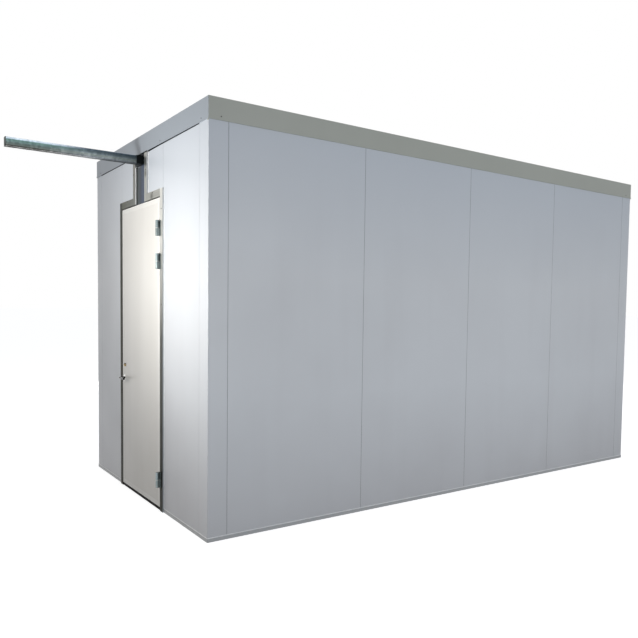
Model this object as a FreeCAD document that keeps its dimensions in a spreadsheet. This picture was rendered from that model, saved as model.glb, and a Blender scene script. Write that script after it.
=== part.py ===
import FreeCAD, Part
import Sketcher
import math
import os
import re
import sys

# Walk-in cold room of cam-locked insulated panels, with an overhead rail that runs in through
# a slot above its hinged door. Millimetres, +X to the right along the front, +Y into the room,
# +Z up. The origin is on the floor, under the middle of the overall length and width.

SIZES = {
    # Room
    "room_width": 2700,
    "room_length": 5100,
    "panel_thickness": 100,
    "ceiling_thickness": 100,
    "corner_leg": 150,
    "corner_radius": 3,
    "edge_groove": 2,
    # Channel that the walls stand in
    "base_sheet": 2,
    "base_height": 30,
    # Angle that covers the joint of walls and ceiling
    "cornice_sheet": 3,
    "cornice_height": 155,
    "cornice_top_leg": 60,
    "cornice_hem": 3,
    "cornice_hem_height": 9,
    # Doorway
    "door_from_corner": 860,
    "doorway_width": 1040,
    "doorway_height": 2575,
    "head_height": 425,
    "frame_face": 60,
    "frame_lap": 20,
    "frame_proud": 12,
    "stop_width": 20,
    "stop_gap": 5,
    # Slot that the rail passes through
    "slot_width": 230,
    "lip_thickness": 6,
    "lip_setback": 2,
    "lip_split": 2,
    "lip_rail_gap": 7,
    # Door leaf
    "leaf_thickness": 82,
    "leaf_gap": 6,
    "leaf_top_gap": 8,
    "leaf_floor_gap": 28,
    "leaf_corner_radius": 3,
    "leaf_border": 40,
    "leaf_foot_border": 16,
    "leaf_border_rise": 1,
    "gasket_width": 14,
    "gasket_depth": 10,
    "gasket_inset": 2,
    "sweep_thickness": 10,
    "sweep_setback": 2,
    "sweep_floor_gap": 6,
    # Hinges
    "hinge_low": 257,
    "hinge_middle": 2020,
    "hinge_high": 2283,
    "hinge_height": 124,
    "hinge_barrel": 26,
    "hinge_pin": 10,
    "hinge_play": 0.05,
    "hinge_washer": 3,
    "hinge_washer_lip": 0.8,
    "hinge_end_gap": 0.5,
    "hinge_swing_gap": 5,
    "hinge_plate": 4,
    "hinge_plate_clip": 5,
    "hinge_leaf_plate": 32,
    "hinge_frame_plate": 24,
    # Lever lock
    "handle_height": 1010,
    "handle_from_edge": 68,
    "rose_diameter": 52,
    "rose_thickness": 8,
    "lever_diameter": 19,
    "lever_reach": 52,
    "lever_bend": 16,
    "lever_length": 128,
    "lever_play": 0.3,
    "spindle_diameter": 12,
    "spindle_hole": 24,
    "cylinder_above_handle": 116,
    "cylinder_diameter": 32,
    "cylinder_thickness": 9,
    # Overhead rail
    "rail_overhang": 1045,
    "rail_drop": 70,
    "rail_width": 60,
    "rail_height": 70,
    "rail_sheet": 4,
    "rail_mouth": 24,
    "rail_lip_rise": 8,
    "rail_radius": 10,
    "rail_back_gap": 150,
    "rail_stop_plate": 6,
    "hanger_flange": 140,
    "hanger_plate": 8,
    "hanger_depth": 60,
    "hanger_inset": 250,
}

SIDE_PANELS = 4
BACK_PANELS = 2
CEILING_PANELS = 4
RAIL_HANGERS = 5

# Places that several pieces share, written in the names above
HALF_WIDTH = "(room_width / 2)"
CORNICE_PROUD = "(cornice_sheet + cornice_hem)"
FRONT = "((rail_overhang - room_length - " + CORNICE_PROUD + ") / 2)"
BACK = "(" + FRONT + " + room_length)"
WALL_TOP = "(doorway_height + head_height)"
ROOF = "(" + WALL_TOP + " + ceiling_thickness)"
CORNICE_BOTTOM = "(" + ROOF + " + cornice_sheet - cornice_height)"
DOORWAY_RIGHT = "(" + HALF_WIDTH + " - door_from_corner)"
DOORWAY_LEFT = "(" + DOORWAY_RIGHT + " - doorway_width)"
DOOR_CENTRE = "(" + DOORWAY_RIGHT + " - doorway_width / 2)"
FRAME_INSET = "(frame_face - frame_lap)"
FRAME_TOP = "(doorway_height + frame_lap)"
FRAME_SOFFIT = "(doorway_height - " + FRAME_INSET + ")"
FRAME_BACK = "(panel_thickness + frame_proud)"
STOP_FRONT = "(leaf_thickness + gasket_depth + stop_gap - frame_proud)"
SLOT_ROUGH_HALF = "(slot_width / 2 + " + FRAME_INSET + ")"
LEAF_WIDTH = "(doorway_width - 2 * " + FRAME_INSET + " - 2 * leaf_gap)"
LEAF_HEIGHT = "(" + FRAME_SOFFIT + " - leaf_top_gap - leaf_floor_gap)"
LEAF_LEFT = "(" + DOOR_CENTRE + " - " + LEAF_WIDTH + " / 2)"
LEAF_RIGHT = "(" + DOOR_CENTRE + " + " + LEAF_WIDTH + " / 2)"
LEAF_FRONT = "(" + FRONT + " - frame_proud)"
LEAF_BACK = "(" + LEAF_FRONT + " + leaf_thickness)"
HINGE_X = "(" + LEAF_RIGHT + " + leaf_gap / 2)"
PLATE_FRONT = "(hinge_barrel / 2 + hinge_swing_gap)"
HINGE_STAND_OFF = "(" + PLATE_FRONT + " + hinge_plate)"
HINGE_Y = "(" + LEAF_FRONT + " - " + HINGE_STAND_OFF + ")"
HANDLE_X = "(" + LEAF_LEFT + " + handle_from_edge)"
RAIL_TOP = "(" + WALL_TOP + " - rail_drop)"
RAIL_BOTTOM = "(" + RAIL_TOP + " - rail_height)"
RAIL_START = "(" + FRONT + " - rail_overhang + rail_stop_plate)"
RAIL_END = "(" + BACK + " - panel_thickness - rail_back_gap)"

# How near a corner lies to a plane, in millimetres, to count as on it
ON_PLANE = 0.01

document = FreeCAD.newDocument("cold_room")
sheet = document.addObject("Spreadsheet::Sheet", "Sizes")
for row, (size_name, size_value) in enumerate(SIZES.items(), start=1):
    sheet.set("A%d" % row, size_name)
    sheet.set("B%d" % row, str(size_value))
    sheet.setAlias("B%d" % row, size_name)
document.recompute()

parts = []


def from_sheet(text):
    """Point each size name in an expression at its cell."""
    def cell(match):
        word = match.group()
        return "Sizes." + word if word in SIZES else word
    return re.sub(r"[a-z_]+", cell, text)


def times(sign, text):
    """A size, or its opposite."""
    return text if sign > 0 else "-(" + text + ")"


def place(thing, at, turn=0):
    """Put a piece at three expressions, turned about +Z."""
    thing.Placement = FreeCAD.Placement(FreeCAD.Vector(), FreeCAD.Rotation(FreeCAD.Vector(0, 0, 1), turn))
    for axis, text in zip("xyz", at):
        thing.setExpression("Placement.Base." + axis, from_sheet(text))


def new_body(label, at, turn=0):
    """A named piece, with its own origin at a place on the room."""
    body = document.addObject("PartDesign::Body", label)
    body.Label = label
    body.AllowCompound = True
    place(body, at, turn)
    parts.append(body)
    return body


def new_sketch(body, plane, offset="0"):
    """An empty sketch on one of the body's own origin planes."""
    sketch = body.newObject("Sketcher::SketchObject", body.Label + "_sketch")
    support = [item for item in body.Origin.OriginFeatures if item.Role == plane][0]
    sketch.AttachmentSupport = (support, "")
    sketch.MapMode = "FlatFace"
    sketch.setExpression("AttachmentOffset.Base.z", from_sheet(offset))
    return sketch


def pin_point(sketch, geometry, end, across, up, start=FreeCAD.Vector(1, 1, 0)):
    """Tie a point's two coordinates to expressions; the solver starts from a nearby point."""
    for kind, text, value in (("DistanceX", across, start.x), ("DistanceY", up, start.y)):
        index = sketch.addConstraint(Sketcher.Constraint(kind, -1, 1, geometry, end, value))
        sketch.setExpression("Constraints[%d]" % index, from_sheet(text))


def draw_outline(sketch, points):
    """A closed outline of straight sides, each corner tied to the sizes."""
    count = len(points)
    first = sketch.GeometryCount
    for index in range(count):
        start = FreeCAD.Vector(index * 10, (index % 2) * 10, 0)
        after = (index + 1) % count
        stop = FreeCAD.Vector(after * 10, (after % 2) * 10, 0)
        sketch.addGeometry(Part.LineSegment(start, stop), False)
    for index in range(count):
        after = first + (index + 1) % count
        sketch.addConstraint(Sketcher.Constraint("Coincident", first + index, 2, after, 1))
    for index, (across, up) in enumerate(points):
        pin_point(sketch, first + index, 1, across, up)


def draw_circle(sketch, across, up, radius):
    """A circle, with its centre and radius tied to the sizes."""
    circle = Part.Circle(FreeCAD.Vector(1, 1, 0), FreeCAD.Vector(0, 0, 1), 5)
    index = sketch.addGeometry(circle, False)
    pin_point(sketch, index, 3, across, up)
    measure = sketch.addConstraint(Sketcher.Constraint("Radius", index, 5.0))
    sketch.setExpression("Constraints[%d]" % measure, from_sheet(radius))


def pad(body, sketch, length, back=False):
    """Add material along the sketch's normal, or against it."""
    feature = body.newObject("PartDesign::Pad", body.Label + "_pad")
    feature.Profile = sketch
    feature.setExpression("Length", from_sheet(length))
    feature.Reversed = back
    return feature


def pocket(body, sketch, length, back=False):
    """Take material away, and make sure that some went."""
    document.recompute()
    before = body.Shape.Volume
    feature = body.newObject("PartDesign::Pocket", body.Label + "_pocket")
    feature.Profile = sketch
    feature.setExpression("Length", from_sheet(length))
    feature.Reversed = back
    document.recompute()
    if body.Shape.Volume >= before:
        sys.exit(body.Label + ": the pocket cuts nothing")
    return feature


def round_edges(body, feature, chosen, radius):
    """Fillet the straight edges of a feature whose two ends are both chosen."""
    document.recompute()
    names = []
    for number, edge in enumerate(feature.Shape.Edges, start=1):
        if all(chosen(vertex.Point) for vertex in edge.Vertexes):
            names.append("Edge%d" % number)
    fillet = body.newObject("PartDesign::Fillet", body.Label + "_fillet")
    fillet.Base = (feature, names)
    fillet.setExpression("Radius", from_sheet(radius))
    return fillet


def upright(label, at, outlines, turn=0):
    """A piece made of upright prisms: each is (plan outline, bottom, height)."""
    body = new_body(label, at, turn)
    for outline, bottom, height in outlines:
        sketch = new_sketch(body, "XY_Plane", bottom)
        draw_outline(sketch, outline)
        pad(body, sketch, height)
    return body


def rectangle(left, front, right, back):
    """Corners of a rectangle, anticlockwise."""
    return [(left, front), (right, front), (right, back), (left, back)]


def panel_plan(width, depth):
    """Plan of an insulated panel, with a small bevel at each edge for the joint line."""
    far = width + " - edge_groove"
    deep = depth + " - edge_groove"
    return [
        ("edge_groove", "0"), (far, "0"), (width, "edge_groove"), (width, deep),
        (far, depth), ("edge_groove", depth), ("0", deep), ("0", "edge_groove"),
    ]


def wall_panel(label, x, y, width, turn=0):
    """A full-height wall panel, standing on the web of the base channel."""
    outline = panel_plan(width, "panel_thickness")
    return upright(label, (x, y, "0"), [(outline, "base_sheet", WALL_TOP + " - base_sheet")], turn)


# Walls

SIDE_PITCH = "((room_length - 2 * corner_leg) / %d)" % SIDE_PANELS
BACK_PITCH = "((room_width - 2 * corner_leg) / %d)" % BACK_PANELS


def corner_panel(label, along_x, along_y):
    """One folded corner panel, drawn from the room's outer corner."""
    def point(across, deep):
        return times(along_x, across), times(along_y, deep)
    outline = [
        point("0", "0"),
        point("corner_leg - edge_groove", "0"),
        point("corner_leg", "edge_groove"),
        point("corner_leg", "panel_thickness - edge_groove"),
        point("corner_leg - edge_groove", "panel_thickness"),
        point("panel_thickness", "panel_thickness"),
        point("panel_thickness", "corner_leg - edge_groove"),
        point("panel_thickness - edge_groove", "corner_leg"),
        point("edge_groove", "corner_leg"),
        point("0", "corner_leg - edge_groove"),
    ]
    x = times(-along_x, HALF_WIDTH)
    y = FRONT if along_y > 0 else BACK
    body = new_body(label, (x, y, "0"))
    sketch = new_sketch(body, "XY_Plane", "base_sheet")
    draw_outline(sketch, outline)
    block = pad(body, sketch, WALL_TOP + " - base_sheet")
    def at_corner(vertex):
        return abs(vertex.x) < ON_PLANE and abs(vertex.y) < ON_PLANE
    round_edges(body, block, at_corner, "corner_radius")
    return body


def walls():
    """Corners, side walls, back wall and the two plain stretches beside the doorway."""
    corner_panel("corner_front_right", -1, 1)
    corner_panel("corner_front_left", 1, 1)
    corner_panel("corner_back_right", -1, -1)
    corner_panel("corner_back_left", 1, -1)
    for index in range(SIDE_PANELS):
        step = " + corner_leg + %d * %s" % (index, SIDE_PITCH)
        right_y = FRONT + step
        left_y = FRONT + step + " + " + SIDE_PITCH
        wall_panel("right_wall_panel_%d" % (index + 1), HALF_WIDTH, right_y, SIDE_PITCH, 90)
        wall_panel("left_wall_panel_%d" % (index + 1), "-" + HALF_WIDTH, left_y, SIDE_PITCH, -90)
    for index in range(BACK_PANELS):
        x = HALF_WIDTH + " - corner_leg - %d * %s" % (index, BACK_PITCH)
        wall_panel("back_wall_panel_%d" % (index + 1), x, BACK, BACK_PITCH, 180)
    wall_panel("front_wall_right", DOORWAY_RIGHT, FRONT, "(door_from_corner - corner_leg)")
    left_width = "(room_width - door_from_corner - doorway_width - corner_leg)"
    wall_panel("front_wall_left", DOORWAY_LEFT + " - " + left_width, FRONT, left_width)


def head_panels():
    """Wall over the doorway, on each side of the rail slot."""
    width = "(doorway_width / 2 - " + SLOT_ROUGH_HALF + ")"
    outline = panel_plan(width, "panel_thickness")
    rise = [(outline, "doorway_height", "head_height")]
    upright("door_head_panel_right", (DOORWAY_RIGHT + " - " + width, FRONT, "0"), rise)
    upright("door_head_panel_left", (DOORWAY_LEFT, FRONT, "0"), rise)


def ceiling():
    """Ceiling panels, each spanning the room's width on top of the walls."""
    pitch = "(room_length / %d)" % CEILING_PANELS
    outline = [(along, WALL_TOP + " + " + rise) for along, rise in panel_plan(pitch, "ceiling_thickness")]
    for index in range(CEILING_PANELS):
        y = FRONT + " + %d * %s" % (index, pitch)
        body = new_body("ceiling_panel_%d" % (index + 1), ("-" + HALF_WIDTH, y, "0"))
        sketch = new_sketch(body, "YZ_Plane")
        draw_outline(sketch, outline)
        pad(body, sketch, "room_width")


# Rings of folded sheet round the foot and the head of the walls

def ring_strip(length, outer, inner, mitred_end=True):
    """Plan of one strip of a ring's side, between two offsets from the ring's outer edge."""
    far_outer = length + " - (" + outer + ")" if mitred_end else length
    far_inner = length + " - (" + inner + ")" if mitred_end else length
    return [(outer, outer), (far_outer, outer), (far_inner, inner), (inner, inner)]


def ring_corner(margin, along_x, along_y):
    """An outer corner of a ring that stands proud of the walls by a margin."""
    x = times(along_x, "(" + HALF_WIDTH + " + " + margin + ")")
    y = FRONT + " - " + margin if along_y < 0 else BACK + " + " + margin
    return x, y, "0"


def base_strips(length, mitred_end=True):
    """Web, outer flange and inner flange of the base channel."""
    depth = "panel_thickness + 2 * base_sheet"
    inner = "panel_thickness + base_sheet"
    return [
        (ring_strip(length, "0", depth, mitred_end), "0", "base_sheet"),
        (ring_strip(length, "0", "base_sheet", mitred_end), "0", "base_height"),
        (ring_strip(length, inner, depth, mitred_end), "0", "base_height"),
    ]


def base_channels():
    """Channel under each wall; the front one stops at the door frame."""
    across = "(room_width + 2 * base_sheet)"
    along = "(room_length + 2 * base_sheet)"
    upright("base_channel_right", ring_corner("base_sheet", 1, -1), base_strips(along), 90)
    upright("base_channel_back", ring_corner("base_sheet", 1, 1), base_strips(across), 180)
    upright("base_channel_left", ring_corner("base_sheet", -1, 1), base_strips(along), 270)
    left_length = "(room_width - door_from_corner - doorway_width - frame_lap + base_sheet)"
    right_length = "(door_from_corner - frame_lap + base_sheet)"
    front = base_strips(left_length, False)
    for outline, bottom, height in base_strips(right_length, False):
        from_right = [(across + " - (" + start + ")", deep) for start, deep in outline]
        front.append((from_right, bottom, height))
    upright("base_channel_front", ring_corner("base_sheet", -1, -1), front)


def cornices():
    """Angle over the top edge of each wall, mitred at the corners, with a hem along its foot."""
    def strips(length):
        return [
            (ring_strip(length, "cornice_hem", CORNICE_PROUD), CORNICE_BOTTOM, "cornice_height"),
            (ring_strip(length, "cornice_hem", "cornice_hem + cornice_top_leg"), ROOF, "cornice_sheet"),
            (ring_strip(length, "0", "cornice_hem"), CORNICE_BOTTOM, "cornice_hem_height"),
        ]
    across = "(room_width + 2 * " + CORNICE_PROUD + ")"
    along = "(room_length + 2 * " + CORNICE_PROUD + ")"
    upright("cornice_front", ring_corner(CORNICE_PROUD, -1, -1), strips(across))
    upright("cornice_right", ring_corner(CORNICE_PROUD, 1, -1), strips(along), 90)
    upright("cornice_back", ring_corner(CORNICE_PROUD, 1, 1), strips(across), 180)
    upright("cornice_left", ring_corner(CORNICE_PROUD, -1, 1), strips(along), 270)


# Door frame, drawn from the corner of the doorway and turned towards the opening

def toward(sign, outline):
    """An outline whose first coordinate runs to the right or to the left."""
    return [(times(sign, across), deep) for across, deep in outline]


def frame_leg(label, x, sign):
    """Upright of the door frame, with a lap on each face of the wall and a stop for the leaf."""
    wrap = [
        ("-frame_lap", "-frame_proud"), (FRAME_INSET, "-frame_proud"),
        (FRAME_INSET, FRAME_BACK), ("-frame_lap", FRAME_BACK),
        ("-frame_lap", "panel_thickness"), ("0", "panel_thickness"),
        ("0", "0"), ("-frame_lap", "0"),
    ]
    stop = rectangle(FRAME_INSET, STOP_FRONT, FRAME_INSET + " + stop_width", FRAME_BACK)
    front_lap = rectangle("-frame_lap", "-frame_proud", FRAME_INSET, "0")
    back_lap = rectangle("-frame_lap", "panel_thickness", FRAME_INSET, FRAME_BACK)
    upright(label, (x, FRONT, "0"), [
        (toward(sign, wrap), "0", "doorway_height"),
        (toward(sign, stop), "0", FRAME_SOFFIT + " - stop_width"),
        (toward(sign, front_lap), "doorway_height", "frame_lap"),
        (toward(sign, back_lap), "doorway_height", "frame_lap"),
    ])


def frame_head():
    """Lintel pieces of the frame, on each side of the rail slot."""
    section = [
        ("-frame_proud", "-" + FRAME_INSET), ("-frame_proud", "frame_lap"),
        ("0", "frame_lap"), ("0", "0"),
        ("panel_thickness", "0"), ("panel_thickness", "frame_lap"),
        (FRAME_BACK, "frame_lap"), (FRAME_BACK, "-" + FRAME_INSET + " - stop_width"),
        (STOP_FRONT, "-" + FRAME_INSET + " - stop_width"), (STOP_FRONT, "-" + FRAME_INSET),
    ]
    length = "(doorway_width / 2 - " + FRAME_INSET + " - " + SLOT_ROUGH_HALF + ")"
    body = new_body("door_frame_head", (DOOR_CENTRE, FRONT, "doorway_height"))
    for start in (SLOT_ROUGH_HALF, "-" + SLOT_ROUGH_HALF + " - " + length):
        sketch = new_sketch(body, "YZ_Plane", start)
        draw_outline(sketch, section)
        pad(body, sketch, length)


def slot_trims():
    """Lining of each side of the rail slot, with laps on the head panels above the frame."""
    outer = "(" + SLOT_ROUGH_HALF + " + frame_lap)"
    lining = rectangle("slot_width / 2", "-frame_proud", SLOT_ROUGH_HALF, FRAME_BACK)
    covered = rectangle("slot_width / 2", "0", SLOT_ROUGH_HALF, FRAME_BACK)
    front_lap = rectangle(SLOT_ROUGH_HALF, "-frame_proud", outer, "0")
    back_lap = rectangle(SLOT_ROUGH_HALF, "panel_thickness", outer, FRAME_BACK)
    outlines = []
    for sign in (1, -1):
        outlines += [
            (toward(sign, lining), FRAME_SOFFIT, CORNICE_BOTTOM + " - " + FRAME_SOFFIT),
            (toward(sign, covered), CORNICE_BOTTOM, WALL_TOP + " - " + CORNICE_BOTTOM),
            (toward(sign, front_lap), FRAME_TOP, CORNICE_BOTTOM + " - " + FRAME_TOP),
            (toward(sign, back_lap), FRAME_TOP, "head_height - frame_lap"),
        ]
    upright("slot_trims", (DOOR_CENTRE, FRONT, "0"), outlines)


def slot_lips():
    """Two rubber flaps that close the slot from the leaf up to the rail."""
    height = RAIL_BOTTOM + " - lip_rail_gap - " + FRAME_SOFFIT
    flap = rectangle("lip_split / 2", "lip_setback", "slot_width / 2", "lip_setback + lip_thickness")
    outlines = [(toward(sign, flap), FRAME_SOFFIT, height) for sign in (1, -1)]
    upright("slot_lips", (DOOR_CENTRE, FRONT, "0"), outlines)


def door_frame():
    """All fixed trim of the doorway and the slot."""
    frame_leg("door_frame_right", DOORWAY_RIGHT, -1)
    frame_leg("door_frame_left", DOORWAY_LEFT, 1)
    frame_head()
    slot_trims()
    slot_lips()


# Door leaf and what it carries

def door_leaf():
    """Insulated leaf in a raised border, with a hole right through it for the lever's spindle."""
    body = new_body("door_leaf", (LEAF_LEFT, LEAF_FRONT, "leaf_floor_gap"))
    plan = new_sketch(body, "XY_Plane")
    draw_outline(plan, rectangle("0", "0", LEAF_WIDTH, "leaf_thickness"))
    slab = pad(body, plan, LEAF_HEIGHT)
    round_edges(body, slab, lambda vertex: abs(vertex.y) < ON_PLANE, "leaf_corner_radius")
    field = new_sketch(body, "XZ_Plane")
    field_right = LEAF_WIDTH + " - leaf_border"
    field_top = LEAF_HEIGHT + " - leaf_border"
    draw_outline(field, rectangle("leaf_border", "leaf_foot_border", field_right, field_top))
    pocket(body, field, "leaf_border_rise")
    hole = new_sketch(body, "XZ_Plane")
    draw_circle(hole, "handle_from_edge", "handle_height - leaf_floor_gap", "spindle_hole / 2")
    pocket(body, hole, "leaf_thickness")


def door_gasket():
    """Seal on the back of the leaf: up one side, across the top and down the other."""
    inner = "gasket_inset + gasket_width"
    top = LEAF_HEIGHT + " - gasket_inset"
    outline = [
        ("gasket_inset", "0"), (inner, "0"),
        (inner, top + " - gasket_width"), (LEAF_WIDTH + " - (" + inner + ")", top + " - gasket_width"),
        (LEAF_WIDTH + " - (" + inner + ")", "0"), (LEAF_WIDTH + " - gasket_inset", "0"),
        (LEAF_WIDTH + " - gasket_inset", top), ("gasket_inset", top),
    ]
    body = new_body("door_gasket", (LEAF_LEFT, LEAF_BACK, "leaf_floor_gap"))
    sketch = new_sketch(body, "XZ_Plane")
    draw_outline(sketch, outline)
    pad(body, sketch, "gasket_depth", back=True)


def door_sweep():
    """Rubber strip under the leaf's front face, just clear of the floor."""
    height = "(leaf_floor_gap - sweep_floor_gap)"
    outline = rectangle("0", "0", LEAF_WIDTH, "sweep_thickness")
    y = LEAF_FRONT + " + sweep_setback"
    upright("door_sweep", (LEAF_LEFT, y, "0"), [(outline, "sweep_floor_gap", height)])


HINGE_HEIGHTS = ("hinge_low", "hinge_middle", "hinge_high")
KNUCKLE = "((hinge_height - hinge_washer - hinge_end_gap) / 2)"


def hinge_half(body, centre, sign, lower):
    """One half of a hinge, drawn from the pin's axis: a plate with clipped corners, a knuckle, and
    the neck between them that runs straight back from the knuckle's side."""
    foot = "(" + centre + " - hinge_height / 2)"
    head = "(" + centre + " + hinge_height / 2)"
    reach = "hinge_frame_plate" if lower else "hinge_leaf_plate"
    clipped = reach + " - hinge_plate_clip"
    plate = [
        ("leaf_gap / 2", foot), (clipped, foot), (reach, foot + " + hinge_plate_clip"),
        (reach, head + " - hinge_plate_clip"), (clipped, head), ("leaf_gap / 2", head),
    ]
    plate_sketch = new_sketch(body, "XZ_Plane", "-" + HINGE_STAND_OFF)
    draw_outline(plate_sketch, toward(sign, plate))
    pad(body, plate_sketch, "hinge_plate")
    knuckle_foot = foot if lower else "(" + head + " - " + KNUCKLE + ")"
    neck = rectangle("hinge_pin / 2 + hinge_washer_lip", "0", "hinge_barrel / 2", PLATE_FRONT)
    neck_sketch = new_sketch(body, "XY_Plane", knuckle_foot)
    draw_outline(neck_sketch, toward(sign, neck))
    pad(body, neck_sketch, KNUCKLE)
    ring = new_sketch(body, "XY_Plane", knuckle_foot)
    draw_circle(ring, "0", "0", "hinge_barrel / 2")
    if not lower:
        draw_circle(ring, "0", "0", "hinge_pin / 2 + hinge_play")
    pad(body, ring, KNUCKLE)


def hinges():
    """Three lift-off hinges: lower knuckles and pins on the frame, upper knuckles on the leaf."""
    fixed = new_body("hinge_frame_halves", (HINGE_X, HINGE_Y, "0"))
    moving = new_body("hinge_leaf_halves", (HINGE_X, HINGE_Y, "0"))
    for centre in HINGE_HEIGHTS:
        foot = "(" + centre + " - hinge_height / 2)"
        hinge_half(fixed, centre, 1, True)
        pin = new_sketch(fixed, "XY_Plane", foot)
        draw_circle(pin, "0", "0", "hinge_pin / 2")
        pad(fixed, pin, "hinge_height")
        washer = new_sketch(fixed, "XY_Plane", foot + " + " + KNUCKLE)
        draw_circle(washer, "0", "0", "hinge_barrel / 2 + hinge_washer_lip")
        pad(fixed, washer, "hinge_washer")
        hinge_half(moving, centre, -1, False)


def discs(label, height, radius, depth, bore=None):
    """A disc flat against each face of the leaf, with a bore or none."""
    body = new_body(label, (HANDLE_X, LEAF_FRONT, height))
    for offset, back in (("-leaf_border_rise", False), ("-leaf_thickness", True)):
        sketch = new_sketch(body, "XZ_Plane", offset)
        draw_circle(sketch, "0", "0", radius)
        if bore:
            draw_circle(sketch, "0", "0", bore)
        pad(body, sketch, depth, back)


def lock_plates():
    """Round roses that the levers turn in, and the key cylinder above them."""
    bore = "lever_diameter / 2 + lever_play"
    discs("lock_roses", "handle_height", "rose_diameter / 2", "rose_thickness", bore)
    lock_height = "handle_height + cylinder_above_handle"
    discs("key_cylinder", lock_height, "cylinder_diameter / 2", "cylinder_thickness")


def lever(label, y, sign):
    """Bent lever of round bar; the sign is -1 outside the room and 1 inside."""
    body = new_body(label, (HANDLE_X, y, "handle_height"))
    path = new_sketch(body, "XY_Plane")
    reach = SIZES["lever_reach"]
    bend = SIZES["lever_bend"]
    shoulder = FreeCAD.Vector(0, sign * (reach - bend), 0)
    elbow = FreeCAD.Vector(bend, sign * reach, 0)
    tip = FreeCAD.Vector(SIZES["lever_length"], sign * reach, 0)
    turn = Part.Circle(FreeCAD.Vector(bend, shoulder.y, 0), FreeCAD.Vector(0, 0, 1), bend)
    outside = sign < 0
    start_angle = math.pi if outside else math.pi / 2
    path.addGeometry(Part.LineSegment(FreeCAD.Vector(), shoulder), False)
    path.addGeometry(Part.ArcOfCircle(turn, start_angle, start_angle + math.pi / 2), False)
    path.addGeometry(Part.LineSegment(elbow, tip), False)
    path.addConstraint(Sketcher.Constraint("Coincident", 0, 1, -1, 1))
    path.addConstraint(Sketcher.Constraint("Coincident", 0, 2, 1, 1 if outside else 2))
    path.addConstraint(Sketcher.Constraint("Coincident", 2, 1, 1, 2 if outside else 1))
    elbow_across = path.addConstraint(Sketcher.Constraint("DistanceX", -1, 1, 2, 1, bend))
    path.setExpression("Constraints[%d]" % elbow_across, from_sheet("lever_bend"))
    shoulder_text = times(sign, "lever_reach - lever_bend")
    pin_point(path, 0, 2, "0", shoulder_text, shoulder)
    pin_point(path, 1, 3, "lever_bend", shoulder_text, turn.Center)
    pin_point(path, 2, 2, "lever_length", times(sign, "lever_reach"), tip)
    section = new_sketch(body, "XZ_Plane")
    draw_circle(section, "0", "0", "lever_diameter / 2")
    document.recompute()
    pipe = body.newObject("PartDesign::AdditivePipe", label + "_pipe")
    pipe.Profile = section
    pipe.Spine = path
    return body


def levers():
    """Both levers, the outer one with the spindle that passes through the leaf."""
    outer = lever("lever_handle_outer", LEAF_FRONT, -1)
    spindle = new_sketch(outer, "XZ_Plane")
    draw_circle(spindle, "0", "0", "spindle_diameter / 2")
    pad(outer, spindle, "leaf_thickness", back=True)
    lever("lever_handle_inner", LEAF_BACK, 1)


def door():
    """The leaf and everything fixed to it."""
    door_leaf()
    door_gasket()
    door_sweep()
    hinges()
    lock_plates()
    levers()


# Overhead rail

def mirrored_back(points):
    """The same points on the other side, in reverse order."""
    return [("-(" + across + ")", up) for across, up in reversed(points)]


def round_shoulders(body, feature):
    """Round the two upper edges of a rail section."""
    half_width = SIZES["rail_width"] / 2
    top = SIZES["rail_height"]
    for side in (half_width, -half_width):
        def on_shoulder(vertex):
            return abs(vertex.x - side) < ON_PLANE and abs(vertex.z - top) < ON_PLANE
        feature = round_edges(body, feature, on_shoulder, "rail_radius")


def overhead_rail():
    """Roll-formed track with rounded shoulders, open below between two turned-up lips."""
    half = "rail_width / 2"
    slit = "rail_mouth / 2"
    outside = [(slit, "0"), (half, "0"), (half, "rail_height")]
    inside = [
        (half + " - rail_sheet", "rail_height - rail_sheet"),
        (half + " - rail_sheet", "rail_sheet"),
        (slit + " + rail_sheet", "rail_sheet"),
        (slit + " + rail_sheet", "rail_lip_rise"),
        (slit, "rail_lip_rise"),
    ]
    body = new_body("overhead_rail", (DOOR_CENTRE, RAIL_START, RAIL_BOTTOM))
    sketch = new_sketch(body, "XZ_Plane")
    draw_outline(sketch, outside + mirrored_back(outside) + mirrored_back(inside) + inside)
    track = pad(body, sketch, RAIL_END + " - " + RAIL_START, back=True)
    round_shoulders(body, track)


def rail_end_stop():
    """Plate that closes the rail's outer end."""
    body = new_body("rail_end_stop", (DOOR_CENTRE, RAIL_START, RAIL_BOTTOM))
    sketch = new_sketch(body, "XZ_Plane")
    draw_outline(sketch, rectangle("-rail_width / 2", "0", "rail_width / 2", "rail_height"))
    plate = pad(body, sketch, "rail_stop_plate")
    round_shoulders(body, plate)


def rail_hangers():
    """Brackets from the ceiling down to the rail: flange, web and saddle in one section."""
    right = [
        ("rail_width / 2 - rail_radius", "0"), ("rail_width / 2 - rail_radius", "hanger_plate"),
        ("hanger_plate / 2", "hanger_plate"), ("hanger_plate / 2", "rail_drop - hanger_plate"),
        ("hanger_flange / 2", "rail_drop - hanger_plate"), ("hanger_flange / 2", "rail_drop"),
    ]
    first = FRONT + " + panel_thickness + hanger_inset"
    reach = "(" + RAIL_END + " - hanger_inset - hanger_depth - (" + first + "))"
    body = new_body("rail_hangers", (DOOR_CENTRE, first, RAIL_TOP))
    for index in range(RAIL_HANGERS):
        step = "-%d * %s / %d" % (index, reach, RAIL_HANGERS - 1)
        sketch = new_sketch(body, "XZ_Plane", step)
        draw_outline(sketch, right + mirrored_back(right))
        pad(body, sketch, "hanger_depth", back=True)


walls()
head_panels()
ceiling()
base_channels()
cornices()
door_frame()
door()
overhead_rail()
rail_end_stop()
rail_hangers()
document.recompute()

failed = [item.Label for item in document.Objects if {"Invalid", "Error"} & set(item.State)]
for body in parts:
    shape = body.Shape
    if shape.isNull() or not shape.isValid() or not shape.Solids:
        failed.append(body.Label)
if failed:
    sys.exit("not built: " + ", ".join(failed))

os.makedirs("parts", exist_ok=True)
for body in parts:
    body.Shape.exportStep("parts/" + body.Label + ".step")
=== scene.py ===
import random
from math import pi, radians

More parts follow.
